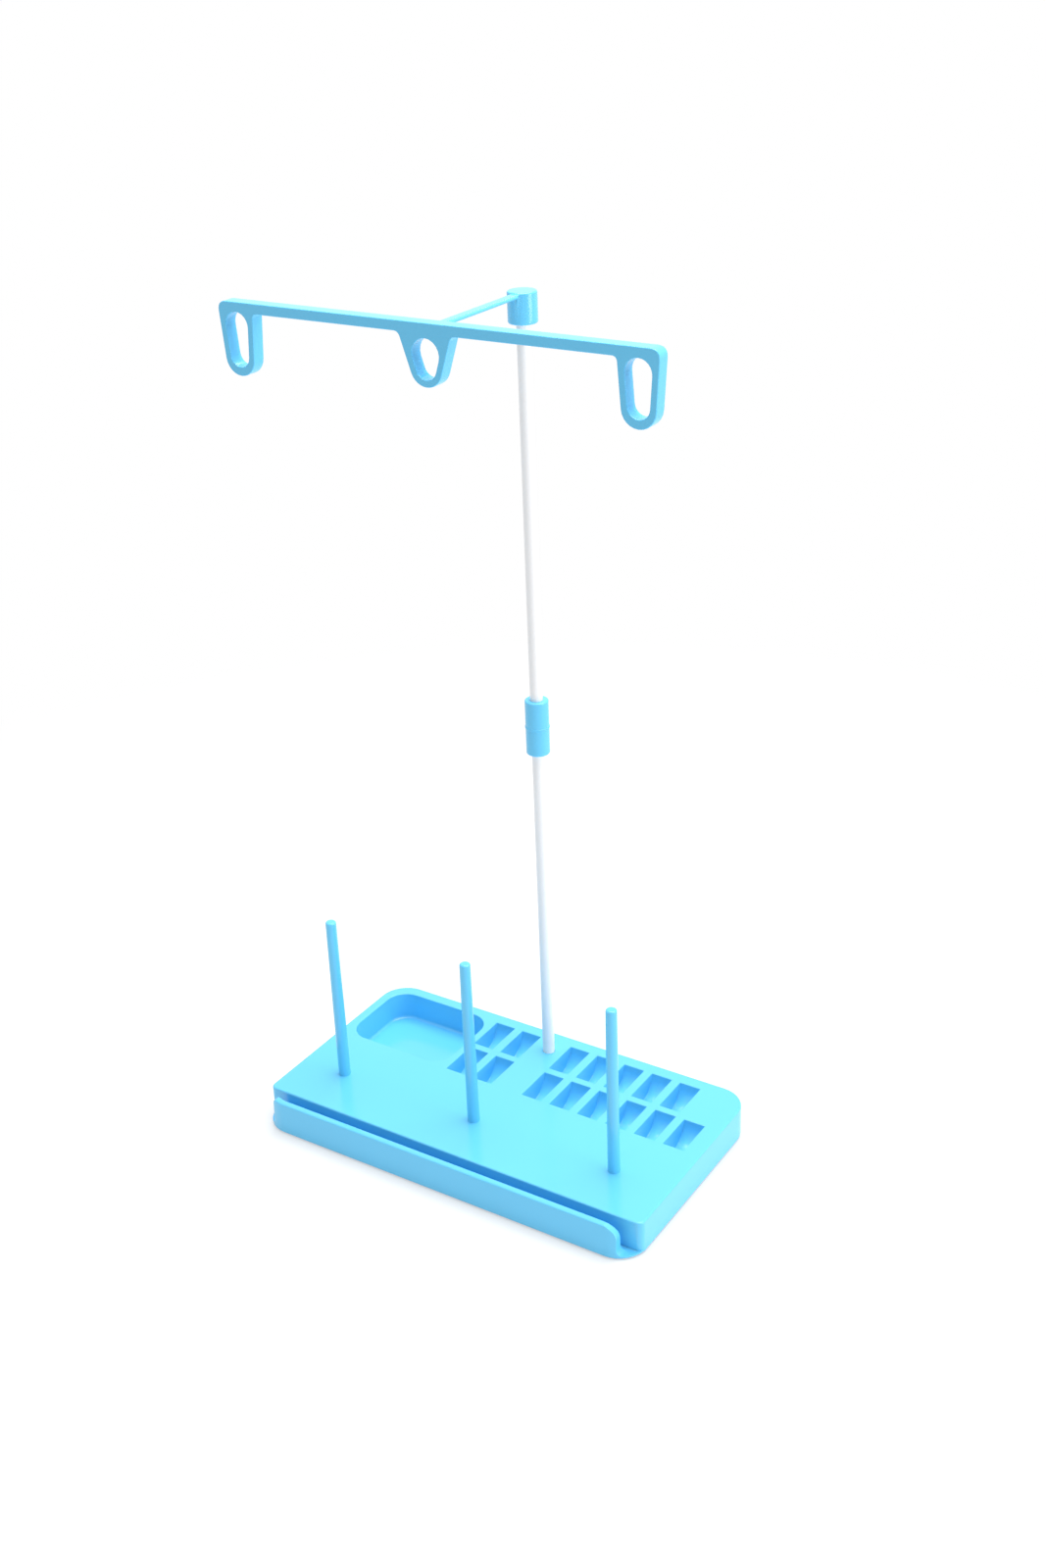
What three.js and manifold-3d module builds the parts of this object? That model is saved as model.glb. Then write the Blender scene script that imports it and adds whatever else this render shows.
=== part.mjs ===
// Thread spool stand: a moulded base with a tray and bobbin pockets, three spool pins,
// a two-piece pole and a thread guide with three rings.
// Millimetres. X runs left to right, Y front to back, Z up.
// The origin is on the table, under the middle of the base.

import * as THREE from 'three';
import { mergeVertices } from 'three/addons/utils/BufferGeometryUtils.js';
import Module from 'manifold-3d';

const wasm = await Module();
wasm.setup();

// Base, outside
const deckHeight = 19.5;
const rimHeight = 0.6;
const baseCornerRadius = 16;
const edgeRadius = 1;
const skirtThickness = 2.2;
const deckThickness = 2.2;

// Front channel and its lip
const channelWidth = 6.4;
const lipThickness = 4.1;
const lipDrop = 0.2;
const lipLeftInset = 8.4;
const lipRightInset = 9.6;
const lipLeftCornerRadius = 3;
const lipRightCornerRadius = 8;
const lipFootRadius = 3.2;
const lipEdgeRadius = 0.9;
const channelFloorThickness = 1.6;
const deckFrontRadius = 3.5;

// Tray
const trayRimSide = 5.8;
const trayRimBack = 7;
const trayLength = 65.7;
const trayWidth = 51;
const trayFloorThickness = 2.3;
const trayCornerRadius = 12;
const trayFloorRadius = 1.8;
const trayShell = 2;

// Bobbin pockets, half round troughs for bobbins that stand on edge
const pocketWidth = 12.3;
const pocketRadius = 11.85;
const pocketRib = 5.2;
const pocketRowWall = 4.5;
const trayPocketRib = 4.2;
const poleGap = 20;
const poleShift = 1;
const pocketEdgeMargin = 9.7;
const pocketBackMargin = 7.6;
const leftPocketCount = 2;
const rightFrontPocketCount = 6;
const rightBackPocketCount = 5;
const deckFrontMargin = 62.4;

// Spool pins
const pinPitch = 86.5;
const pinSetback = 30.5;
const pinRowShift = -1.2;
const pinHeight = 98.2;
const pinFootDiameter = 6.6;
const pinTopDiameter = 5.8;
const pinTipRadius = 1.1;
const pinSpigotDiameter = 5.6;
const pinSpigotLength = 13;
const pinSocketWall = 2.2;

// Pole
const rodDiameter = 6.6;
const rodLength = 218.3;
const rodChamfer = 0.4;
const poleBackMargin = 16.5;
const poleSocketFloor = 1.4;
const poleSocketWall = 2.8;
const couplingDiameter = 12.4;
const couplingSocket = 14.1;
const couplingWeb = 2;
const couplingEdge = 0.8;
const couplingBead = 0.25;
const couplingBeadHeight = 1.2;

// Thread guide
const headDiameter = 14.4;
const headSocket = 11.4;
const headCap = 3.7;
const headEdge = 0.9;
const barAboveHead = 1.6;
const barHeight = 4.9;
const barThickness = 7.2;
const barEdge = 0.5;
const barCornerRadius = 5;
const armWidth = 5;
const armThickness = 2;
const armDrop = 3.3;
const ringPitch = 106;
const barForward = 1.4;
const ringLeg = 3.2;
const ringFillet = 2.4;
const endRingDepth = 34.5;
const endRingTopWidth = 21;
const endRingFootRadius = 8.5;
const endRingWeb = 4.7;
const endRingFoot = 4.2;
const centreRingDepth = 28.5;
const centreRingTopWidth = 28;
const centreRingFootRadius = 8.6;
const centreRingWeb = 6.8;
const centreRingFoot = 3.3;

// Foot pads
const padDiameter = 12;
const padThickness = 1.4;
const padLandWall = 2;
const padLandThickness = 1.6;
const padInset = 16;
const padFrontInset = 12;

// Stiffening ribs under the deck
const ribThickness = 1.6;
const ribClearance = 2.4;

// Fits
const rodClearance = 0.05;
const pinClearance = 0.05;
const padClearance = 0.1;
const cutterReach = 1;
const roundSegments = 24;

// Lengths along the base, from left to right
const pocketPitch = pocketWidth + pocketRib;
const leftPocketsLength = leftPocketCount * pocketPitch - pocketRib;
const rightPocketsLength = rightFrontPocketCount * pocketPitch - pocketRib;
const baseLength = trayRimSide + trayLength + trayPocketRib + leftPocketsLength
  + poleGap + rightPocketsLength + pocketEdgeMargin;
const baseLeft = -baseLength / 2;
const baseRight = baseLength / 2;
const trayLeft = baseLeft + trayRimSide;
const trayRight = trayLeft + trayLength;
const leftPocketsStart = trayRight + trayPocketRib;
const rightPocketsStart = leftPocketsStart + leftPocketsLength + poleGap;
const poleX = rightPocketsStart - poleGap / 2 + poleShift;
const pinRowX = poleX + pinRowShift;

// Lengths across the base, from front to back
const deckSetback = lipThickness + channelWidth;
const baseDepth = deckSetback + deckFrontMargin + 4 * pocketRadius + pocketRowWall + pocketBackMargin;
const baseFront = -baseDepth / 2;
const baseBack = baseDepth / 2;
const deckFront = baseFront + deckSetback;
const backRowY = baseBack - pocketBackMargin - pocketRadius;
const frontRowY = backRowY - 2 * pocketRadius - pocketRowWall;
const trayBack = baseBack - trayRimBack;
const trayFront = trayBack - trayWidth;
const pinRowY = deckFront + pinSetback;
const barY = pinRowY - barForward;
const poleY = baseBack - poleBackMargin;

// Heights of the base and up the pole
const deckUnderside = deckHeight - deckThickness;
const trayFloor = rimHeight + trayFloorThickness;
const channelFloorTop = rimHeight + channelFloorThickness;
const lipTop = deckHeight - lipDrop;
const poleSocketBottom = rimHeight + poleSocketFloor;
const couplingWebBottom = poleSocketBottom + rodLength;
const couplingWebTop = couplingWebBottom + couplingWeb;
const upperRodTop = couplingWebTop + rodLength;
const headBottom = upperRodTop - headSocket;
const headTop = upperRodTop + headCap;
const barTop = headTop + barAboveHead;
const barBottom = barTop - barHeight;

// A closed geometry as a solid for joining and cutting
function solidFrom(geometry) {
  const bare = geometry.clone();
  bare.deleteAttribute('normal');
  bare.deleteAttribute('uv');
  const merged = mergeVertices(bare, 1e-4);
  const mesh = new wasm.Mesh({
    numProp: 3,
    vertProperties: new Float32Array(merged.attributes.position.array),
    triVerts: new Uint32Array(merged.index.array),
  });
  return new wasm.Manifold(mesh);
}

function geometryFrom(solid) {
  const mesh = solid.getMesh();
  const geometry = new THREE.BufferGeometry();
  geometry.setAttribute('position', new THREE.BufferAttribute(new Float32Array(mesh.vertProperties), 3));
  geometry.setIndex(new THREE.BufferAttribute(new Uint32Array(mesh.triVerts), 1));
  geometry.computeVertexNormals();
  return geometry;
}

function joined(solids) {
  return solids.reduce((whole, next) => whole.add(next));
}

// The radius of a many-sided bore whose flats clear a round shaft
function boreRadius(shaftDiameter, clearance) {
  return (shaftDiameter / 2 + clearance) / Math.cos(Math.PI / roundSegments);
}

// Rounded rectangle seen from above
function roundedOutline(left, right, front, back, frontRadius, backRadius) {
  const outline = new THREE.Shape();
  outline.moveTo(left + frontRadius, front);
  outline.lineTo(right - frontRadius, front);
  outline.absarc(right - frontRadius, front + frontRadius, frontRadius, -Math.PI / 2, 0, false);
  outline.lineTo(right, back - backRadius);
  outline.absarc(right - backRadius, back - backRadius, backRadius, 0, Math.PI / 2, false);
  outline.lineTo(left + backRadius, back);
  outline.absarc(left + backRadius, back - backRadius, backRadius, Math.PI / 2, Math.PI, false);
  outline.lineTo(left, front + frontRadius);
  outline.absarc(left + frontRadius, front + frontRadius, frontRadius, Math.PI, 1.5 * Math.PI, false);
  return outline;
}

function baseOutline(inset) {
  const radius = baseCornerRadius - inset;
  return roundedOutline(baseLeft + inset, baseRight - inset, baseFront + inset, baseBack - inset, radius, radius);
}

function bodyOutline(inset) {
  return roundedOutline(baseLeft + inset, baseRight - inset, deckFront + inset, baseBack - inset,
    deckFrontRadius - inset, baseCornerRadius - inset);
}

// An outline raised between two heights, with its edges rounded by the given radius
function prism(outline, low, high, rounding = 0) {
  const geometry = new THREE.ExtrudeGeometry(outline, {
    depth: high - low - 2 * rounding,
    bevelEnabled: rounding > 0,
    bevelThickness: rounding,
    bevelSize: rounding,
    bevelOffset: -rounding,
    bevelSegments: 3,
    curveSegments: 4,
  });
  geometry.translate(0, 0, low + rounding);
  return solidFrom(geometry);
}

// An outline drawn in X and Z, given thickness from one Y to a greater one
function frontPrism(outline, near, far, rounding = 0, curveSegments = 4) {
  const geometry = new THREE.ExtrudeGeometry(outline, {
    depth: far - near - 2 * rounding,
    bevelEnabled: rounding > 0,
    bevelThickness: rounding,
    bevelSize: rounding,
    bevelOffset: -rounding,
    bevelSegments: 2,
    curveSegments,
  });
  geometry.rotateX(Math.PI / 2);
  geometry.translate(0, far - rounding, 0);
  return solidFrom(geometry);
}

function box(left, right, front, back, low, high) {
  const geometry = new THREE.BoxGeometry(right - left, back - front, high - low);
  geometry.translate((left + right) / 2, (front + back) / 2, (low + high) / 2);
  return solidFrom(geometry);
}

function upright(radius, x, y, low, high) {
  const geometry = new THREE.CylinderGeometry(radius, radius, high - low, roundSegments);
  geometry.rotateX(Math.PI / 2);
  geometry.translate(x, y, (low + high) / 2);
  return solidFrom(geometry);
}

// A turned piece: pairs of radius and height, from the axis round to the axis again
function turned(profile, x, y) {
  const points = profile.map(([radius, height]) => new THREE.Vector2(radius, height));
  const geometry = new THREE.LatheGeometry(points, roundSegments);
  geometry.rotateX(Math.PI / 2);
  geometry.translate(x, y, 0);
  return solidFrom(geometry);
}

// Quarter round corner of a turned profile, from one angle to another
function quarterRound(centreRadius, centreHeight, radius, from, to, steps = 3) {
  const points = [];
  for (let step = 0; step <= steps; step += 1) {
    const angle = from + (to - from) * step / steps;
    points.push([centreRadius + radius * Math.cos(angle), centreHeight + radius * Math.sin(angle)]);
  }
  return points;
}

// Where each bobbin pocket stands: its left side and its row's middle
function pocketPlaces() {
  const places = [];
  for (const rowY of [frontRowY, backRowY]) {
    const rightCount = rowY === frontRowY ? rightFrontPocketCount : rightBackPocketCount;
    for (let column = 0; column < leftPocketCount; column += 1) {
      places.push({ left: leftPocketsStart + column * pocketPitch, y: rowY });
    }
    for (let column = 0; column < rightCount; column += 1) {
      places.push({ left: rightPocketsStart + column * pocketPitch, y: rowY });
    }
  }
  return places;
}

// A cylinder that lies along X with its axis level with the deck
function lyingCylinder(radius, left, right, y) {
  const geometry = new THREE.CylinderGeometry(radius, radius, right - left, roundSegments);
  geometry.rotateZ(Math.PI / 2);
  geometry.translate((left + right) / 2, y, deckHeight);
  return solidFrom(geometry);
}

// The moulded block below the deck that one row of pockets is hollowed from
function pocketBlock(start, count, y) {
  const length = count * pocketPitch - pocketRib;
  const wall = pocketRowWall / 2;
  const block = lyingCylinder(pocketRadius + wall, start - wall, start + length + wall, y);
  return block.intersect(box(baseLeft, baseRight, baseFront, baseBack, 0, deckUnderside + cutterReach));
}

function pocketBlocks() {
  return [
    pocketBlock(leftPocketsStart, leftPocketCount, frontRowY),
    pocketBlock(leftPocketsStart, leftPocketCount, backRowY),
    pocketBlock(rightPocketsStart, rightFrontPocketCount, frontRowY),
    pocketBlock(rightPocketsStart, rightBackPocketCount, backRowY),
  ];
}

function pocketHollow(place) {
  return lyingCylinder(pocketRadius, place.left, place.left + pocketWidth, place.y);
}

const pinPlaces = [
  { name: 'spool_pin_left', x: pinRowX - pinPitch },
  { name: 'spool_pin_centre', x: pinRowX },
  { name: 'spool_pin_right', x: pinRowX + pinPitch },
];

const padPlaces = [
  { name: 'foot_pad_front_left', x: baseLeft + padInset, y: deckFront + padFrontInset },
  { name: 'foot_pad_front_right', x: baseRight - padInset, y: deckFront + padFrontInset },
  { name: 'foot_pad_back_left', x: baseLeft + padInset, y: baseBack - padInset },
  { name: 'foot_pad_back_right', x: baseRight - padInset, y: baseBack - padInset },
];

// The lip in front view: square foot with small flares, upper corners rounded less at the left end
function lipFrontView() {
  const low = rimHeight;
  const foot = channelFloorTop;
  const top = lipTop;
  const leftEnd = baseLeft + lipLeftInset;
  const rightEnd = baseRight - lipRightInset;
  const left = lipLeftCornerRadius;
  const right = lipRightCornerRadius;
  const view = new THREE.Shape();
  view.moveTo(leftEnd - lipFootRadius, low);
  view.lineTo(rightEnd + lipFootRadius, low);
  view.lineTo(rightEnd + lipFootRadius, foot);
  view.absarc(rightEnd + lipFootRadius, foot + lipFootRadius, lipFootRadius, -Math.PI / 2, -Math.PI, true);
  view.lineTo(rightEnd, top - right);
  view.absarc(rightEnd - right, top - right, right, 0, Math.PI / 2, false);
  view.lineTo(leftEnd + left, top);
  view.absarc(leftEnd + left, top - left, left, Math.PI / 2, Math.PI, false);
  view.lineTo(leftEnd, foot + lipFootRadius);
  view.absarc(leftEnd - lipFootRadius, foot + lipFootRadius, lipFootRadius, 0, -Math.PI / 2, true);
  return view;
}

function frontLip() {
  const wall = prism(baseOutline(0), rimHeight, lipTop, lipEdgeRadius)
    .subtract(prism(baseOutline(lipThickness), -cutterReach, deckHeight + cutterReach));
  const view = frontPrism(lipFrontView(), baseFront - cutterReach, deckFront);
  return wall.intersect(view);
}

function channelFloor() {
  const slab = box(baseLeft, baseRight, baseFront, deckFront + skirtThickness, rimHeight, channelFloorTop);
  return prism(baseOutline(0), rimHeight, lipTop, lipEdgeRadius).intersect(slab);
}

function hollowBody() {
  return prism(bodyOutline(0), rimHeight, deckHeight, edgeRadius)
    .subtract(prism(bodyOutline(skirtThickness), -cutterReach, deckUnderside));
}

function trayTub() {
  const outline = roundedOutline(trayLeft - trayShell, trayRight + trayShell, trayFront - trayShell,
    trayBack + trayShell, trayCornerRadius + trayShell, trayCornerRadius + trayShell);
  return prism(outline, rimHeight, deckUnderside + cutterReach);
}

function trayHollow() {
  const outline = roundedOutline(trayLeft, trayRight, trayFront, trayBack, trayCornerRadius, trayCornerRadius);
  return prism(outline, trayFloor, deckHeight + 2 * trayFloorRadius, trayFloorRadius);
}

// Ribs under the deck: one along the pins, one across at the pole, two more across towards either end
function ribs() {
  const half = ribThickness / 2;
  const low = rimHeight + ribClearance;
  const high = deckUnderside + cutterReach;
  const list = [box(baseLeft, baseRight, pinRowY - half, pinRowY + half, low, high)];
  for (const steps of [-2, -1, 1, 2]) {
    const x = pinRowX + steps * pinPitch / 2;
    list.push(box(x - half, x + half, deckFront, frontRowY, low, high));
  }
  list.push(box(poleX - half, poleX + half, deckFront, baseBack, low, high));
  return list;
}

// A round land for each foot pad, held from the deck by two crossed ribs
function padLands() {
  const reach = padDiameter / 2 + padLandWall;
  const half = ribThickness / 2;
  const seat = padThickness;
  return padPlaces.flatMap(({ x, y }) => [
    upright(reach, x, y, rimHeight, seat + padLandThickness),
    box(x - reach + half, x + reach - half, y - half, y + half, seat, deckUnderside + cutterReach),
    box(x - half, x + half, y - reach + half, y + reach - half, seat, deckUnderside + cutterReach),
  ]);
}

function pinSocketBoss(x) {
  const radius = pinSpigotDiameter / 2 + pinSocketWall;
  return upright(radius, x, pinRowY, deckHeight - pinSpigotLength - pinSocketWall, deckUnderside + cutterReach);
}

function poleSocketBoss() {
  return upright(rodDiameter / 2 + poleSocketWall, poleX, poleY, rimHeight, deckUnderside + cutterReach);
}

function baseShell() {
  const inside = prism(bodyOutline(skirtThickness / 2), rimHeight, deckHeight - deckThickness / 2);
  const internals = joined([
    trayTub(),
    ...pocketBlocks(),
    ...ribs(),
    ...padLands(),
    ...pinPlaces.map((place) => pinSocketBoss(place.x)),
    poleSocketBoss(),
  ]).intersect(inside);
  const hollows = joined([
    trayHollow(),
    ...pocketPlaces().map(pocketHollow),
    ...pinPlaces.map((place) => upright(boreRadius(pinSpigotDiameter, pinClearance), place.x, pinRowY,
      deckHeight - pinSpigotLength - pinSocketWall / 4, deckHeight + cutterReach)),
    upright(boreRadius(rodDiameter, rodClearance), poleX, poleY, poleSocketBottom, deckHeight + cutterReach),
    ...padPlaces.map(({ x, y }) => upright(padDiameter / 2 + padClearance, x, y, -cutterReach, padThickness)),
  ]);
  return joined([hollowBody(), channelFloor(), frontLip(), internals]).subtract(hollows);
}

// A pin stands on its shoulder, with its spigot in the base
function spoolPin(x) {
  const foot = pinFootDiameter / 2;
  const top = pinTopDiameter / 2;
  const spigot = pinSpigotDiameter / 2;
  const tip = deckHeight + pinHeight;
  const end = deckHeight - pinSpigotLength;
  return turned([
    [0, end],
    [spigot - rodChamfer, end],
    [spigot, end + rodChamfer],
    [spigot, deckHeight],
    [foot, deckHeight],
    ...quarterRound(top - pinTipRadius, tip - pinTipRadius, pinTipRadius, 0, Math.PI / 2, 4),
    [0, tip],
  ], x, pinRowY);
}

function rod(low) {
  const radius = rodDiameter / 2;
  const high = low + rodLength;
  return turned([
    [0, low],
    [radius - rodChamfer, low],
    [radius, low + rodChamfer],
    [radius, high - rodChamfer],
    [radius - rodChamfer, high],
    [0, high],
  ], poleX, poleY);
}

// A sleeve with a web in the middle and a raised bead round it
function rodCoupling() {
  const outer = couplingDiameter / 2;
  const bore = boreRadius(rodDiameter, rodClearance);
  const low = couplingWebBottom - couplingSocket;
  const high = couplingWebTop + couplingSocket;
  const middle = (low + high) / 2;
  const halfBead = couplingBeadHeight / 2;
  return turned([
    [0, couplingWebBottom],
    [bore, couplingWebBottom],
    [bore, low],
    ...quarterRound(outer - couplingEdge, low + couplingEdge, couplingEdge, -Math.PI / 2, 0),
    [outer, middle - halfBead],
    [outer + couplingBead, middle - halfBead / 2],
    [outer + couplingBead, middle + halfBead / 2],
    [outer, middle + halfBead],
    ...quarterRound(outer - couplingEdge, high - couplingEdge, couplingEdge, 0, Math.PI / 2),
    [bore, high],
    [bore, couplingWebTop],
    [0, couplingWebTop],
  ], poleX, poleY);
}

// How far a ring's sides lean outwards: they touch the foot circle and meet the top width
function ringLean(halfTop, rise, footRadius) {
  const reach = Math.hypot(halfTop, rise);
  return Math.atan2(halfTop, rise) - Math.asin(footRadius / reach);
}

// The three rings, each with its middle, foot circle, lean and the top of its hole
function guideRings() {
  const endRise = endRingDepth - endRingFootRadius;
  const endLean = ringLean(endRingTopWidth / 2, endRise, endRingFootRadius);
  const endRing = {
    footZ: barTop - endRise,
    footRadius: endRingFootRadius,
    lean: endLean,
    holeTop: barTop - endRingWeb,
    footThickness: endRingFoot,
  };
  const centreRise = centreRingDepth - centreRingFootRadius - barHeight;
  const centreRing = {
    footZ: barBottom - centreRise,
    footRadius: centreRingFootRadius,
    lean: ringLean(centreRingTopWidth / 2, centreRise, centreRingFootRadius),
    holeTop: barTop - centreRingWeb,
    footThickness: centreRingFoot,
  };
  return [
    { x: poleX - ringPitch, ...endRing },
    { x: poleX, ...centreRing },
    { x: poleX + ringPitch, ...endRing },
  ];
}

// Half the width of a ring's outside at a height
function ringHalfWidth(ring, z) {
  return (ring.footRadius + (z - ring.footZ) * Math.sin(ring.lean)) / Math.cos(ring.lean);
}

function ringFoot(outline, ring) {
  outline.absarc(ring.x, ring.footZ, ring.footRadius, Math.PI + ring.lean, 2 * Math.PI - ring.lean, false);
}

// From a ring's right side round into the underside of the bar
function filletUp(outline, ring) {
  const low = barBottom - ringFillet;
  const corner = ring.x + ringHalfWidth(ring, barBottom);
  outline.lineTo(ring.x + ringHalfWidth(ring, low), low);
  outline.quadraticCurveTo(corner, barBottom, corner + ringFillet, barBottom);
}

// From the underside of the bar round into a ring's left side
function filletDown(outline, ring) {
  const low = barBottom - ringFillet;
  const corner = ring.x - ringHalfWidth(ring, barBottom);
  outline.lineTo(corner - ringFillet, barBottom);
  outline.quadraticCurveTo(corner, barBottom, ring.x - ringHalfWidth(ring, low), low);
}

// The guide seen from the front: the bar with a tapered ring below it at both ends and in the middle
function guideOutline() {
  const rings = guideRings();
  const [leftRing, centreRing, rightRing] = rings;
  const outline = new THREE.Shape();
  const left = leftRing.x - endRingTopWidth / 2;
  const right = rightRing.x + endRingTopWidth / 2;
  outline.moveTo(left + barCornerRadius, barTop);
  outline.quadraticCurveTo(left, barTop, leftRing.x - ringHalfWidth(leftRing, barTop - barCornerRadius),
    barTop - barCornerRadius);
  ringFoot(outline, leftRing);
  filletUp(outline, leftRing);
  filletDown(outline, centreRing);
  ringFoot(outline, centreRing);
  filletUp(outline, centreRing);
  filletDown(outline, rightRing);
  ringFoot(outline, rightRing);
  outline.lineTo(rightRing.x + ringHalfWidth(rightRing, barTop - barCornerRadius), barTop - barCornerRadius);
  outline.quadraticCurveTo(right, barTop, right - barCornerRadius, barTop);
  outline.holes = rings.map(ringHole);
  return outline;
}

// A hole between two even legs, with a thicker foot below it and a round top under the bar
function ringHole(ring) {
  const slope = Math.sin(ring.lean);
  const rise = (ring.footThickness - ringLeg) / (1 - slope);
  const footZ = ring.footZ + rise;
  const footRadius = ring.footRadius + rise * slope - ringLeg;
  const topZ = (ring.holeTop - footRadius + footZ * slope) / (1 + slope);
  const topRadius = ring.holeTop - topZ;
  const hole = new THREE.Path();
  hole.absarc(ring.x, topZ, topRadius, -ring.lean, Math.PI + ring.lean, false);
  hole.absarc(ring.x, footZ, footRadius, Math.PI + ring.lean, 2 * Math.PI - ring.lean, false);
  hole.closePath();
  return hole;
}

// A flat arm with round edges, from inside the head to inside the bar
function guideArm() {
  const middle = barTop - armDrop;
  const half = armThickness / 2;
  const side = armWidth / 2 - half;
  const section = new THREE.Shape();
  section.absarc(poleX + side, middle, half, -Math.PI / 2, Math.PI / 2, false);
  section.absarc(poleX - side, middle, half, Math.PI / 2, 1.5 * Math.PI, false);
  section.closePath();
  return frontPrism(section, barY, poleY - boreRadius(rodDiameter, rodClearance) - cutterReach);
}

function guideHead() {
  const outer = headDiameter / 2;
  const bore = boreRadius(rodDiameter, rodClearance);
  return turned([
    [0, upperRodTop],
    [bore, upperRodTop],
    [bore, headBottom],
    ...quarterRound(outer - headEdge, headBottom + headEdge, headEdge, -Math.PI / 2, 0),
    ...quarterRound(outer - headEdge, headTop - headEdge, headEdge, 0, Math.PI / 2),
    [0, headTop],
  ], poleX, poleY);
}

function threadGuide() {
  const half = barThickness / 2;
  const plate = frontPrism(guideOutline(), barY - half, barY + half, barEdge, 6);
  return joined([plate, guideArm(), guideHead()]);
}

// A round pad with a softened lower edge, stuck in its land
function footPad({ x, y }) {
  const radius = padDiameter / 2;
  const edge = rimHeight / 2;
  return turned([
    [0, 0],
    [radius - edge, 0],
    [radius, edge],
    [radius, padThickness],
    [0, padThickness],
  ], x, y);
}

// Materials
const bluePlastic = new THREE.MeshStandardMaterial({ color: 0x67cdfa, roughness: 0.25, metalness: 0 });
const whiteRod = new THREE.MeshStandardMaterial({ color: 0xf1f1f4, roughness: 0.3, metalness: 0 });
const softRubber = new THREE.MeshStandardMaterial({ color: 0xd9dde0, roughness: 0.8, metalness: 0 });

const stand = new THREE.Group();

function addPiece(name, solid, material) {
  const piece = new THREE.Mesh(geometryFrom(solid), material.clone());
  piece.name = name;
  stand.add(piece);
}

addPiece('base_shell', baseShell(), bluePlastic);
for (const place of pinPlaces) {
  addPiece(place.name, spoolPin(place.x), bluePlastic);
}
addPiece('lower_rod', rod(poleSocketBottom), whiteRod);
addPiece('rod_coupling', rodCoupling(), bluePlastic);
addPiece('upper_rod', rod(couplingWebTop), whiteRod);
addPiece('thread_guide', threadGuide(), bluePlastic);
for (const place of padPlaces) {
  addPiece(place.name, footPad(place), softRubber);
}

export default stand;
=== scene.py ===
import math

import bmesh
import bpy
from mathutils import Matrix, Vector
from mathutils.bvhtree import BVHTree


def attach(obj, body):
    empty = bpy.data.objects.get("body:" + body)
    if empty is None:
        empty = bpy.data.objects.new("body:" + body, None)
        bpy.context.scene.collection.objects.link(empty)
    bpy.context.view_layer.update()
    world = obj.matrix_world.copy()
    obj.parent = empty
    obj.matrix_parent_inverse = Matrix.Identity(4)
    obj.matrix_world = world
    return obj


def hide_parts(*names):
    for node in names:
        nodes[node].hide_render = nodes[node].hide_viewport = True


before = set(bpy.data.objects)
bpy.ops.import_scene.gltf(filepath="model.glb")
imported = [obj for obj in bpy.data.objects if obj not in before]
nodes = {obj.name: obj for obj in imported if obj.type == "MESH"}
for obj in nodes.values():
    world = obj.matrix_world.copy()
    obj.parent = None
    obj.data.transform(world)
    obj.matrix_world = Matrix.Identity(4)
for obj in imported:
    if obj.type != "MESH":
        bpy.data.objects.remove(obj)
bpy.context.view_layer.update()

MM = 0.001

# How near a place must be to a level to count as lying on it, and how far a face's normal must
# reach along Z for the face to count as flat
near = 0.1 * MM
flat_face = 0.9


# The moulded base: one injection moulding in glossy sky-blue polystyrene, with the tray, the bobbin
# pockets and the front channel sunk into its deck. The skin comes off a polished mould, so it is
# smooth and bright, and every rim that a finger can touch has a small mould radius.

deck_height = 19.5 * MM
deck_front = -55.7 * MM
base_front = -66.2 * MM
lip_back = -62.1 * MM
corner_x = 101.5 * MM
corner_y = -50.2 * MM
rim_height = 0.6 * MM
channel_floor = 2.2 * MM
pin_row_x = -2.2 * MM
pin_row_y = -25.2 * MM
pin_pitch = 86.5 * MM
pin_places = {
    "left": pin_row_x - pin_pitch,
    "centre": pin_row_x,
    "right": pin_row_x + pin_pitch,
}

# The lip's draft and the mould radii of the rims
lip_draft = math.radians(2.2)
lip_back_shift = 0.5 * MM
deck_rim_round = 0.4 * MM
deck_front_round = 0.5 * MM
lip_top_round = 1.0 * MM
lip_rim_round = 0.3 * MM

# How closely the solid is welded, and how far each kind of rim reaches when it is looked for
weld_gap = 0.06 * MM
weld_angle = math.radians(0.3)
lip_back_slack = 0.15 * MM
lip_front_zone = 3 * MM
lip_flare_top = 5.6 * MM
deck_front_zone = 5 * MM
front_edge_zone = 1 * MM
probe_lift = 0.12 * MM
socket_clearance = 4 * MM


def take_up(piece):
    """Makes one piece the only thing that is selected."""
    bpy.ops.object.select_all(action="DESELECT")
    piece.select_set(True)
    bpy.context.view_layer.objects.active = piece


def welded_copy(node, name):
    """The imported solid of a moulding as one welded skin, with its flat faces whole again."""
    moulding = bpy.data.objects.new(name, nodes[node].data.copy())
    bpy.context.scene.collection.objects.link(moulding)
    take_up(moulding)
    bpy.ops.object.mode_set(mode="EDIT")
    bpy.ops.mesh.select_mode(type="VERT")
    bpy.ops.mesh.select_all(action="SELECT")
    bpy.ops.mesh.remove_doubles(threshold=weld_gap)
    bpy.ops.mesh.dissolve_degenerate(threshold=weld_gap)
    bpy.ops.mesh.dissolve_limited(angle_limit=weld_angle)
    bpy.ops.mesh.select_all(action="DESELECT")
    bpy.ops.object.mode_set(mode="OBJECT")
    return moulding


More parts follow.
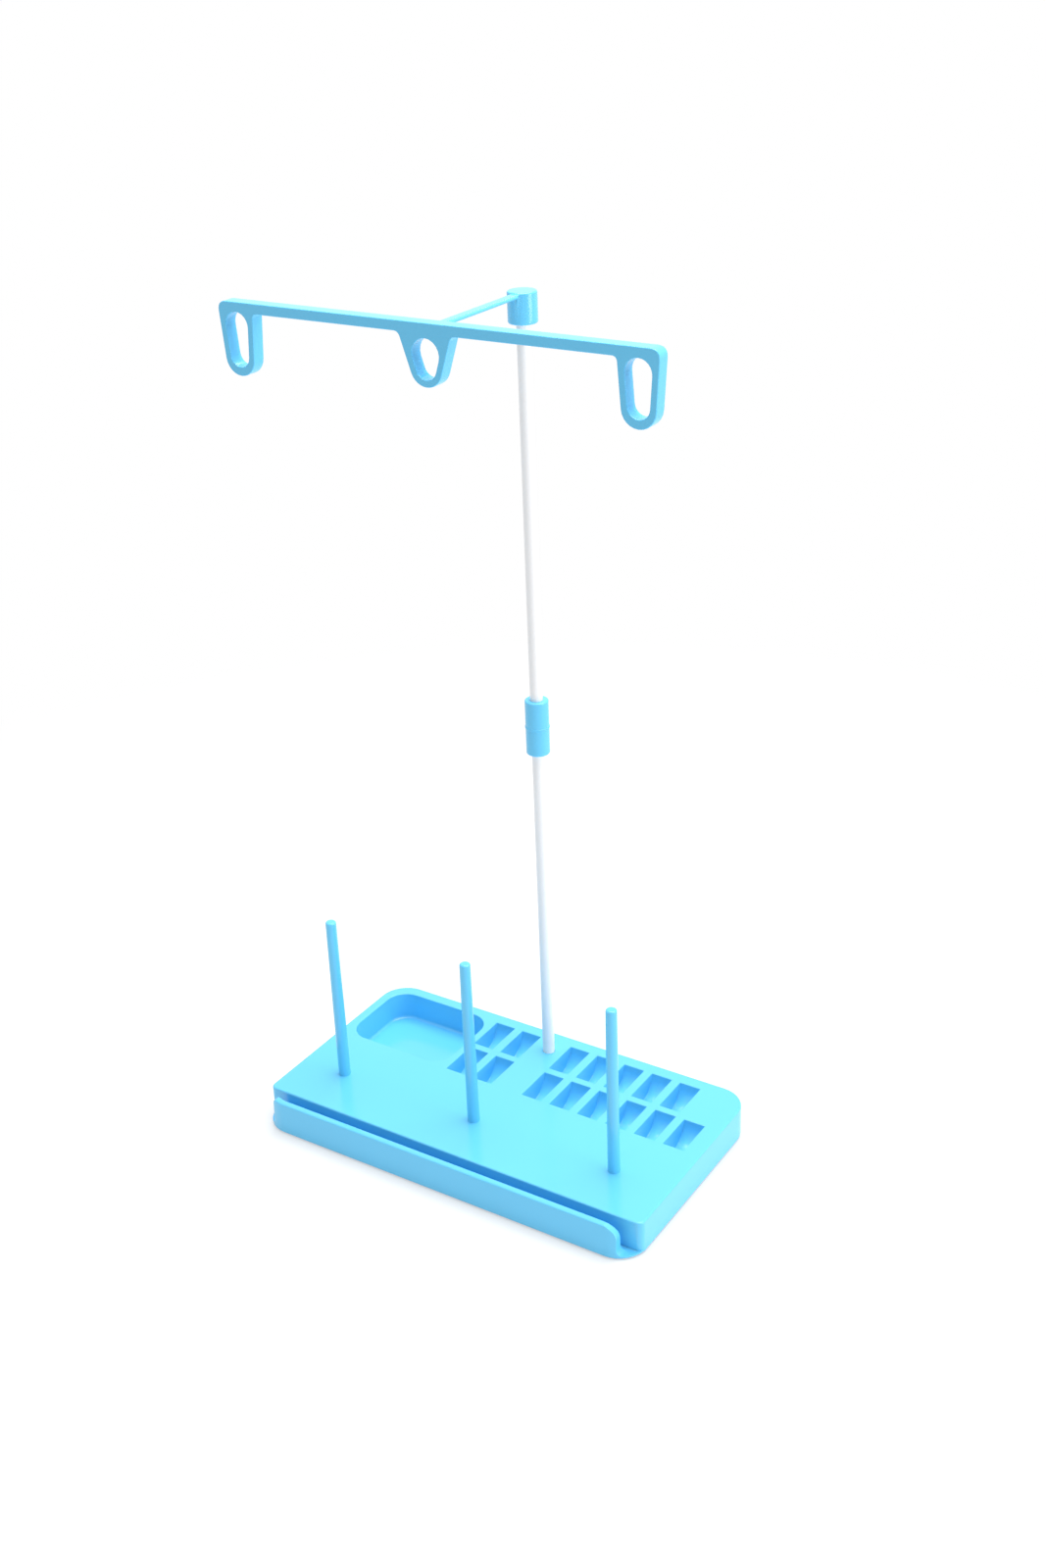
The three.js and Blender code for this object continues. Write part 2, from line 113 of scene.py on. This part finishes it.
def round_rims(moulding, wanted, radius, sharper_than=30, segments=3, clamped=True):
    """Gives a mould radius to the sharp edges that nothing covers from above, where they are wanted."""
    take_up(moulding)
    bpy.ops.object.mode_set(mode="EDIT")
    bpy.ops.mesh.select_mode(type="EDGE")
    skin = bmesh.from_edit_mesh(moulding.data)
    skin.normal_update()
    cover = BVHTree.FromBMesh(skin)
    for edge in skin.edges:
        chosen = False
        if len(edge.link_faces) == 2 and edge.calc_face_angle() > math.radians(sharper_than):
            middle = (edge.verts[0].co + edge.verts[1].co) / 2
            outward = (edge.link_faces[0].normal + edge.link_faces[1].normal).normalized()
            start = middle + probe_lift * outward
            covered = cover.ray_cast(start, Vector((0, 0, 1)))[0] is not None
            chosen = wanted(middle) and not covered
        edge.select_set(chosen)
    bmesh.update_edit_mesh(moulding.data)
    bpy.ops.mesh.bevel(offset=radius, segments=segments, affect="EDGES", clamp_overlap=clamped)
    bpy.ops.object.mode_set(mode="OBJECT")


def polish(piece, crease=40):
    """Shades the rounds smooth and keeps the flats flat."""
    take_up(piece)
    bpy.ops.object.shade_smooth_by_angle(angle=math.radians(crease))
    flats = piece.modifiers.new("flats_stay_flat", "WEIGHTED_NORMAL")
    flats.mode = "FACE_AREA"
    flats.weight = 50
    flats.keep_sharp = True
    bpy.ops.object.modifier_apply(modifier=flats.name)


def pick(piece, kind, wanted):
    """Selects wanted vertices, edges with both ends wanted, or wanted faces, and stays in edit mode."""
    if bpy.context.mode != "EDIT_MESH":
        take_up(piece)
        bpy.ops.object.mode_set(mode="EDIT")
    bpy.ops.mesh.select_mode(type=kind)
    bpy.ops.mesh.select_all(action="DESELECT")
    skin = bmesh.from_edit_mesh(piece.data)
    skin.normal_update()
    if kind == "VERT":
        for vertex in skin.verts:
            vertex.select_set(wanted(vertex.co))
    elif kind == "EDGE":
        for edge in skin.edges:
            edge.select_set(wanted(edge.verts[0].co) and wanted(edge.verts[1].co))
    else:
        for face in skin.faces:
            face.select_set(wanted(face))
    skin.select_flush_mode()
    bmesh.update_edit_mesh(piece.data)


def on_lip_back(place):
    """True on the lip's back face, which follows the base's round corners at its ends."""
    past_corner = max(abs(place.x) - corner_x, 0)
    depth = math.hypot(past_corner, place.y - corner_y)
    on_face = abs(depth - (corner_y - lip_back)) < lip_back_slack and place.y < corner_y
    return on_face and place.z > channel_floor - near


def on_lip_top_back(place):
    """True on the lip's back once it has been moved, above the flares at its foot."""
    return on_lip_back(place - Vector((0, lip_back_shift, 0))) and place.z > lip_flare_top


def lean_lip_back(moulding):
    """Moves the lip's back towards the deck and leans its front, so that it can leave the mould."""
    pick(moulding, "VERT", on_lip_back)
    bpy.ops.transform.translate(value=(0, lip_back_shift, 0))
    pick(moulding, "VERT", lambda co: co.y < base_front + lip_front_zone)
    bpy.ops.transform.rotate(value=lip_draft, orient_axis="X",
                             center_override=(0, base_front, rim_height))
    bpy.ops.object.mode_set(mode="OBJECT")


def away_from_sockets(place):
    """True outside the pin sockets, whose rims stay crisp under the pins' shoulders."""
    return all((place.xy - Vector((x, pin_row_y))).length > socket_clearance for x in pin_places.values())


base = welded_copy("base_shell", "moulded_base")
lean_lip_back(base)
round_rims(base, lambda place: place.y > deck_front + deck_front_zone and away_from_sockets(place),
           radius=deck_rim_round)
round_rims(base, lambda place: abs(place.y - deck_front) < front_edge_zone, radius=deck_front_round)
round_rims(base, on_lip_top_back, radius=lip_top_round, segments=5, clamped=False)
round_rims(base, lambda place: place.y < deck_front - front_edge_zone, radius=lip_rim_round)
polish(base)
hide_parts("base_shell")
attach(base, "base")


def node_input(tree, name, kind, value):
    """Adds one input with its usual value to a node group."""
    socket = tree.interface.new_socket(name, in_out="INPUT", socket_type=kind)
    socket.default_value = value


def moulded_skin_group():
    """Colour, roughness and height of a moulded skin, shared by the plastics and the pad rubber."""
    tree = bpy.data.node_groups.new("moulded_skin", "ShaderNodeTree")
    node_input(tree, "Colour", "NodeSocketColor", (0.5, 0.5, 0.5, 1))
    node_input(tree, "Cloud", "NodeSocketFloat", 0.02)
    node_input(tree, "Roughness", "NodeSocketFloat", 0.2)
    node_input(tree, "Rub", "NodeSocketFloat", 0.05)
    node_input(tree, "Stretch", "NodeSocketVector", (1, 1, 1))
    tree.interface.new_socket("Colour", in_out="OUTPUT", socket_type="NodeSocketColor")
    tree.interface.new_socket("Roughness", in_out="OUTPUT", socket_type="NodeSocketFloat")
    tree.interface.new_socket("Height", in_out="OUTPUT", socket_type="NodeSocketFloat")
    add, link = tree.nodes.new, tree.links.new
    given = add("NodeGroupInput")
    out = add("NodeGroupOutput")
    place = add("ShaderNodeTexCoord")
    drawn = add("ShaderNodeVectorMath")
    drawn.operation = "MULTIPLY"
    link(place.outputs["Object"], drawn.inputs[0])
    link(given.outputs["Stretch"], drawn.inputs[1])

    # Melt flow: broad clouds, a few centimetres across, that barely shift the tint
    flow = add("ShaderNodeTexNoise")
    flow.inputs["Scale"].default_value = 22
    flow.inputs["Detail"].default_value = 3
    flow.inputs["Roughness"].default_value = 0.45
    link(drawn.outputs["Vector"], flow.inputs["Vector"])
    centred = add("ShaderNodeMath")
    centred.operation = "SUBTRACT"
    centred.inputs[1].default_value = 0.5
    link(flow.outputs["Fac"], centred.inputs[0])
    shade = add("ShaderNodeMath")
    shade.operation = "MULTIPLY_ADD"
    shade.inputs[2].default_value = 1.0
    link(centred.outputs["Value"], shade.inputs[0])
    link(given.outputs["Cloud"], shade.inputs[1])
    clouded = add("ShaderNodeHueSaturation")
    link(given.outputs["Colour"], clouded.inputs["Color"])
    link(shade.outputs["Value"], clouded.inputs["Value"])

    # Handling: soft patches where the gloss is rubbed a little duller
    rub = add("ShaderNodeTexNoise")
    rub.inputs["Scale"].default_value = 60
    rub.inputs["Detail"].default_value = 4
    link(drawn.outputs["Vector"], rub.inputs["Vector"])
    dull = add("ShaderNodeMapRange")
    dull.inputs["From Min"].default_value = 0.4
    dull.inputs["From Max"].default_value = 0.75
    link(rub.outputs["Fac"], dull.inputs["Value"])
    rough = add("ShaderNodeMath")
    rough.operation = "MULTIPLY_ADD"
    link(dull.outputs["Result"], rough.inputs[0])
    link(given.outputs["Rub"], rough.inputs[1])
    link(given.outputs["Roughness"], rough.inputs[2])

    # Skin: the slow waviness that a cooling wall leaves, with a finer polish ripple over it
    wave = add("ShaderNodeTexNoise")
    wave.inputs["Scale"].default_value = 70
    wave.inputs["Detail"].default_value = 1
    link(drawn.outputs["Vector"], wave.inputs["Vector"])
    ripple = add("ShaderNodeTexNoise")
    ripple.inputs["Scale"].default_value = 420
    ripple.inputs["Detail"].default_value = 1
    link(drawn.outputs["Vector"], ripple.inputs["Vector"])
    height = add("ShaderNodeMath")
    height.operation = "MULTIPLY_ADD"
    height.inputs[1].default_value = 0.08
    link(ripple.outputs["Fac"], height.inputs[0])
    link(wave.outputs["Fac"], height.inputs[2])

    link(clouded.outputs["Color"], out.inputs["Colour"])
    link(rough.outputs["Value"], out.inputs["Roughness"])
    link(height.outputs["Value"], out.inputs["Height"])
    return tree


moulded_skin = moulded_skin_group()


def moulded_plastic(name, colour, roughness, cloud, rub, skin_depth, stretch=(1, 1, 1)):
    """A plastic or rubber whose colour, gloss and skin come from the moulded skin group."""
    material = bpy.data.materials.new(name)
    material.use_nodes = True
    tree = material.node_tree
    shader = tree.nodes["Principled BSDF"]
    shader.inputs["IOR"].default_value = 1.55
    skin = tree.nodes.new("ShaderNodeGroup")
    skin.node_tree = moulded_skin
    skin.inputs["Colour"].default_value = (*colour, 1)
    skin.inputs["Cloud"].default_value = cloud
    skin.inputs["Roughness"].default_value = roughness
    skin.inputs["Rub"].default_value = rub
    skin.inputs["Stretch"].default_value = stretch
    bump = tree.nodes.new("ShaderNodeBump")
    bump.inputs["Distance"].default_value = skin_depth
    bump.inputs["Strength"].default_value = 0.5
    tree.links.new(skin.outputs["Colour"], shader.inputs["Base Color"])
    tree.links.new(skin.outputs["Roughness"], shader.inputs["Roughness"])
    tree.links.new(skin.outputs["Height"], bump.inputs["Height"])
    tree.links.new(bump.outputs["Normal"], shader.inputs["Normal"])
    return material


sky_blue = moulded_plastic(
    "sky_blue_polystyrene", colour=(0.135, 0.61, 0.955), roughness=0.17,
    cloud=0.05, rub=0.06, skin_depth=0.03 * MM)


def finish_in(piece, material):
    """Puts one finish on the whole piece."""
    piece.data.materials.clear()
    piece.data.materials.append(material)


finish_in(base, sky_blue)


# The spool pins: three slightly tapered pins of the same plastic, cut square at the top with a
# rounded edge, and pushed into sockets in the deck by a thinner spigot. A spool sits flat round them.

pin_height = 98.2 * MM
pin_foot_radius = 3.3 * MM
pin_top_radius = 2.9 * MM
pin_tip_round = 1.1 * MM
spigot_radius = 2.8 * MM
spigot_length = 13 * MM
spigot_chamfer = 0.4 * MM


def settle(piece):
    """Leaves edit mode and puts the piece's place into its mesh."""
    if bpy.context.mode == "EDIT_MESH":
        bpy.ops.object.mode_set(mode="OBJECT")
    take_up(piece)
    bpy.ops.object.transform_apply(location=True, rotation=True, scale=True)


def spool_pin(name, x):
    """One pin, from the end of its spigot to its tip."""
    bpy.ops.object.select_all(action="DESELECT")
    bpy.ops.mesh.primitive_cylinder_add(vertices=48, radius=pin_foot_radius, depth=pin_height,
                                        location=(x, pin_row_y, deck_height + pin_height / 2))
    pin = bpy.context.object
    pin.name = name
    settle(pin)
    tip = deck_height + pin_height
    pick(pin, "VERT", lambda co: co.z > tip - near)
    taper = pin_top_radius / pin_foot_radius
    bpy.ops.transform.resize(value=(taper, taper, 1), center_override=(x, pin_row_y, tip))
    pick(pin, "EDGE", lambda co: co.z > tip - near)
    bpy.ops.mesh.bevel(offset=pin_tip_round, segments=6, affect="EDGES")
    pick(pin, "FACE", lambda face: face.normal.z < -flat_face)
    bpy.ops.mesh.inset(thickness=pin_foot_radius - spigot_radius)
    bpy.ops.mesh.extrude_region_move(TRANSFORM_OT_translate={"value": (0, 0, -spigot_length)})
    pick(pin, "EDGE", lambda co: co.z < deck_height - spigot_length + near)
    bpy.ops.mesh.bevel(offset=spigot_chamfer, segments=2, affect="EDGES")
    settle(pin)
    polish(pin)
    return pin


for side, x in pin_places.items():
    pin = spool_pin(f"tapered_pin_{side}", x)
    finish_in(pin, sky_blue)
    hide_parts(f"spool_pin_{side}")
    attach(pin, f"{side}_pin")


# The pole: two plain white plastic rods of one length, drawn through a die and cut, so their skin
# has a faint grain along them. The lower one stands in the base, the upper one in the sleeve.

pole_x = -1.0 * MM
pole_y = 49.7 * MM
rod_radius = 3.3 * MM
rod_length = 218.3 * MM
rod_chamfer = 0.4 * MM
lower_rod_foot = 2.0 * MM
upper_rod_foot = 222.3 * MM


def drawn_rod(name, foot):
    """One length of rod with both ends broken by a small chamfer."""
    bpy.ops.object.select_all(action="DESELECT")
    bpy.ops.mesh.primitive_cylinder_add(vertices=64, radius=rod_radius, depth=rod_length,
                                        location=(pole_x, pole_y, foot + rod_length / 2))
    rod = bpy.context.object
    rod.name = name
    settle(rod)
    for end in (foot + rod_length, foot):
        pick(rod, "EDGE", lambda co: abs(co.z - end) < near)
        bpy.ops.mesh.bevel(offset=rod_chamfer, segments=2, affect="EDGES")
    settle(rod)
    polish(rod)
    return rod


white_rod = moulded_plastic(
    "white_drawn_rod", colour=(0.93, 0.925, 0.93), roughness=0.3,
    cloud=0.02, rub=0.08, skin_depth=0.02 * MM, stretch=(1, 1, 0.04))
for name, node, body, foot in (
    ("white_rod_lower", "lower_rod", "lower_pole", lower_rod_foot),
    ("white_rod_upper", "upper_rod", "upper_pole", upper_rod_foot),
):
    rod = drawn_rod(name, foot)
    finish_in(rod, white_rod)
    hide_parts(node)
    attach(rod, body)


# The sleeve that joins the rods: a short blue moulding with a bore from each end, a solid web
# between the bores, rounded ends and a faint bead round its middle.

sleeve_radius = 6.2 * MM
sleeve_bore = 3.38 * MM
sleeve_low = 206.2 * MM
sleeve_high = 236.4 * MM
sleeve_depth = 14.1 * MM
sleeve_end_round = 0.8 * MM
mouth_round = 0.25 * MM
bead_height = 1.2 * MM
bead_proud = 0.25 * MM
bead_round = 0.24 * MM

sleeve_middle = (sleeve_low + sleeve_high) / 2
bpy.ops.object.select_all(action="DESELECT")
bpy.ops.mesh.primitive_cylinder_add(vertices=64, radius=sleeve_radius, depth=sleeve_high - sleeve_low,
                                    location=(pole_x, pole_y, sleeve_middle))
sleeve = bpy.context.object
sleeve.name = "pole_sleeve"
settle(sleeve)
for inward in (-1, 1):
    pick(sleeve, "FACE", lambda face: face.normal.z * inward < -flat_face and len(face.verts) > 4)
    bpy.ops.mesh.inset(thickness=sleeve_radius - sleeve_bore)
    bpy.ops.mesh.extrude_region_move(TRANSFORM_OT_translate={"value": (0, 0, inward * sleeve_depth)})
for height in (-bead_height / 2, bead_height / 2):
    bpy.ops.mesh.select_all(action="SELECT")
    bpy.ops.mesh.bisect(plane_co=(pole_x, pole_y, sleeve_middle + height), plane_no=(0, 0, 1))
pick(sleeve, "FACE", lambda face: abs(face.calc_center_median().z - sleeve_middle) < bead_height / 4
     and abs(face.normal.z) < 1 - flat_face)
bpy.ops.mesh.extrude_region_shrink_fatten(TRANSFORM_OT_shrink_fatten={"value": bead_proud})


def from_axis(co):
    """How far a place is from the pole's axis."""
    return (co.xy - Vector((pole_x, pole_y))).length


def at_sleeve_end(co):
    """True at the level of either end of the sleeve."""
    return min(abs(co.z - sleeve_low), abs(co.z - sleeve_high)) < near


# The outer edges of both ends, then the bead's two edges, then the mouths of both bores
pick(sleeve, "EDGE", lambda co: at_sleeve_end(co) and from_axis(co) > sleeve_radius - near)
bpy.ops.mesh.bevel(offset=sleeve_end_round, segments=5, affect="EDGES")
pick(sleeve, "EDGE", lambda co: from_axis(co) > sleeve_radius + near)
bpy.ops.mesh.bevel(offset=bead_round, segments=3, affect="EDGES")
pick(sleeve, "EDGE", lambda co: at_sleeve_end(co) and from_axis(co) < sleeve_bore + near)
bpy.ops.mesh.bevel(offset=mouth_round, segments=2, affect="EDGES")
settle(sleeve)
polish(sleeve)
finish_in(sleeve, sky_blue)
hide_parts("rod_coupling")
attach(sleeve, "coupling")


# The thread guide: one blue moulding that caps the pole and turns on it, with a thin arm forward to
# a bar that carries a tapered ring above each pin.

guide = welded_copy("thread_guide", "ring_guide")
polish(guide, crease=50)
finish_in(guide, sky_blue)
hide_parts("thread_guide")
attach(guide, "guide")


# The foot pads: round self-adhesive pads of pale soft rubber, punched from a sheet and stuck in
# shallow seats under the base.

pad_radius = 6 * MM
pad_thickness = 1.4 * MM
pad_edge_round = 0.35 * MM
pad_x = 101.5 * MM
pad_front_y = -43.7 * MM
pad_back_y = 50.2 * MM
pad_places = {
    "front_left": (-pad_x, pad_front_y),
    "front_right": (pad_x, pad_front_y),
    "back_left": (-pad_x, pad_back_y),
    "back_right": (pad_x, pad_back_y),
}
pad_rubber = moulded_plastic(
    "pale_pad_rubber", colour=(0.67, 0.7, 0.72), roughness=0.72,
    cloud=0.08, rub=0.1, skin_depth=0.06 * MM, stretch=(2, 2, 2))
for corner, (x, y) in pad_places.items():
    bpy.ops.object.select_all(action="DESELECT")
    bpy.ops.mesh.primitive_cylinder_add(vertices=48, radius=pad_radius, depth=pad_thickness,
                                        location=(x, y, pad_thickness / 2))
    pad = bpy.context.object
    pad.name = f"rubber_pad_{corner}"
    settle(pad)
    pick(pad, "EDGE", lambda co: co.z < near)
    bpy.ops.mesh.bevel(offset=pad_edge_round, segments=3, affect="EDGES")
    settle(pad)
    polish(pad)
    finish_in(pad, pad_rubber)
    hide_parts(f"foot_pad_{corner}")
    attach(pad, "base")


# The studio: a white table that runs out to the horizon under soft light from above, the back and
# the right, as for a catalogue picture. The eye sees the table and the room as plain white, and the
# table keeps the stand's own shadow close round it.

table_length = 40
white_share_near = 0.45
fade_from = 0.2
fade_to = 0.7
room_strength = 0.49


def seen_by_eye(tree):
    """1 where the eye looks, also in a reflection or through a piece, and 0 for light that falls."""
    ray = tree.nodes.new("ShaderNodeLightPath")
    seen = tree.nodes.new("ShaderNodeMath")
    seen.operation = "MAXIMUM"
    tree.links.new(ray.outputs["Is Camera Ray"], seen.inputs[0])
    tree.links.new(ray.outputs["Is Glossy Ray"], seen.inputs[1])
    through = tree.nodes.new("ShaderNodeMath")
    through.operation = "MAXIMUM"
    tree.links.new(seen.outputs["Value"], through.inputs[0])
    tree.links.new(ray.outputs["Is Transmission Ray"], through.inputs[1])
    return through.outputs["Value"]


bpy.ops.object.select_all(action="DESELECT")
bpy.ops.mesh.primitive_plane_add(size=table_length, location=(0, 0, 0))
table_top = bpy.context.object
table_top.name = "studio_table"
white_table = bpy.data.materials.new("white_table")
white_table.use_nodes = True
tree = white_table.node_tree
tree.nodes.clear()
output = tree.nodes.new("ShaderNodeOutputMaterial")
paper = tree.nodes.new("ShaderNodeBsdfDiffuse")
paper.inputs["Color"].default_value = (0.9, 0.9, 0.9, 1)
glow = tree.nodes.new("ShaderNodeEmission")
glow.inputs["Strength"].default_value = 1.0
where = tree.nodes.new("ShaderNodeTexCoord")
reach = tree.nodes.new("ShaderNodeVectorMath")
reach.operation = "LENGTH"
tree.links.new(where.outputs["Object"], reach.inputs[0])
fade = tree.nodes.new("ShaderNodeMapRange")
fade.inputs["From Min"].default_value = fade_from
fade.inputs["From Max"].default_value = fade_to
fade.inputs["To Min"].default_value = white_share_near
fade.inputs["To Max"].default_value = 1.0
tree.links.new(reach.outputs["Value"], fade.inputs["Value"])
share = tree.nodes.new("ShaderNodeMath")
share.operation = "MULTIPLY"
tree.links.new(seen_by_eye(tree), share.inputs[0])
tree.links.new(fade.outputs["Result"], share.inputs[1])
blend = tree.nodes.new("ShaderNodeMixShader")
tree.links.new(share.outputs["Value"], blend.inputs["Fac"])
tree.links.new(paper.outputs["BSDF"], blend.inputs[1])
tree.links.new(glow.outputs["Emission"], blend.inputs[2])
tree.links.new(blend.outputs["Shader"], output.inputs["Surface"])
table_top.data.materials.append(white_table)

world = bpy.data.worlds.new("white_studio")
bpy.context.scene.world = world
world.use_nodes = True
tree = world.node_tree
tree.nodes.clear()
output = tree.nodes.new("ShaderNodeOutputWorld")
room = tree.nodes.new("ShaderNodeBackground")
room.inputs["Color"].default_value = (1, 1, 1, 1)
room.inputs["Strength"].default_value = room_strength
backdrop = tree.nodes.new("ShaderNodeBackground")
backdrop.inputs["Color"].default_value = (1, 1, 1, 1)
backdrop.inputs["Strength"].default_value = 1.0
blend = tree.nodes.new("ShaderNodeMixShader")
tree.links.new(seen_by_eye(tree), blend.inputs["Fac"])
tree.links.new(room.outputs["Background"], blend.inputs[1])
tree.links.new(backdrop.outputs["Background"], blend.inputs[2])
tree.links.new(blend.outputs["Shader"], output.inputs["Surface"])


def soft_box(name, place, aim, size, power):
    """A square soft box that shines from its place at a point."""
    light = bpy.data.lights.new(name, "AREA")
    light.shape = "SQUARE"
    light.size = size
    light.energy = power
    lamp = bpy.data.objects.new(name, light)
    bpy.context.scene.collection.objects.link(lamp)
    lamp.location = place
    lamp.rotation_euler = (Vector(aim) - Vector(place)).to_track_quat("-Z", "Y").to_euler()


soft_box("top_box", place=(0.1, 0.3, 1.5), aim=(0, 0, 0.1), size=1.2, power=27)
soft_box("right_box", place=(1.6, 0.15, 0.4), aim=(0, 0, 0.15), size=0.8, power=9)

# The camera stands in front and to the right, above the stand, and looks down along its long side.
camera_place = Vector((475.3, -690.3, 627.9)) * MM
look_azimuth = math.radians(33.33)
look_elevation = math.radians(26.55)
roll = math.radians(-2.29)
focal_pixels = 1911.2
picture_height = 1600

look = Vector((
    -math.sin(look_azimuth) * math.cos(look_elevation),
    math.cos(look_azimuth) * math.cos(look_elevation),
    -math.sin(look_elevation),
))
view = bpy.data.cameras.new("photo_camera")
view.sensor_width = 36
view.lens = view.sensor_width * focal_pixels / picture_height
camera = bpy.data.objects.new("photo_camera", view)
bpy.context.scene.collection.objects.link(camera)
level = look.to_track_quat("-Z", "Y").to_matrix()
tilted = level @ Matrix.Rotation(roll, 3, "Z")
camera.matrix_world = Matrix.Translation(camera_place) @ tilted.to_4x4()
bpy.context.scene.camera = camera
bpy.context.scene.view_settings.view_transform = "Standard"
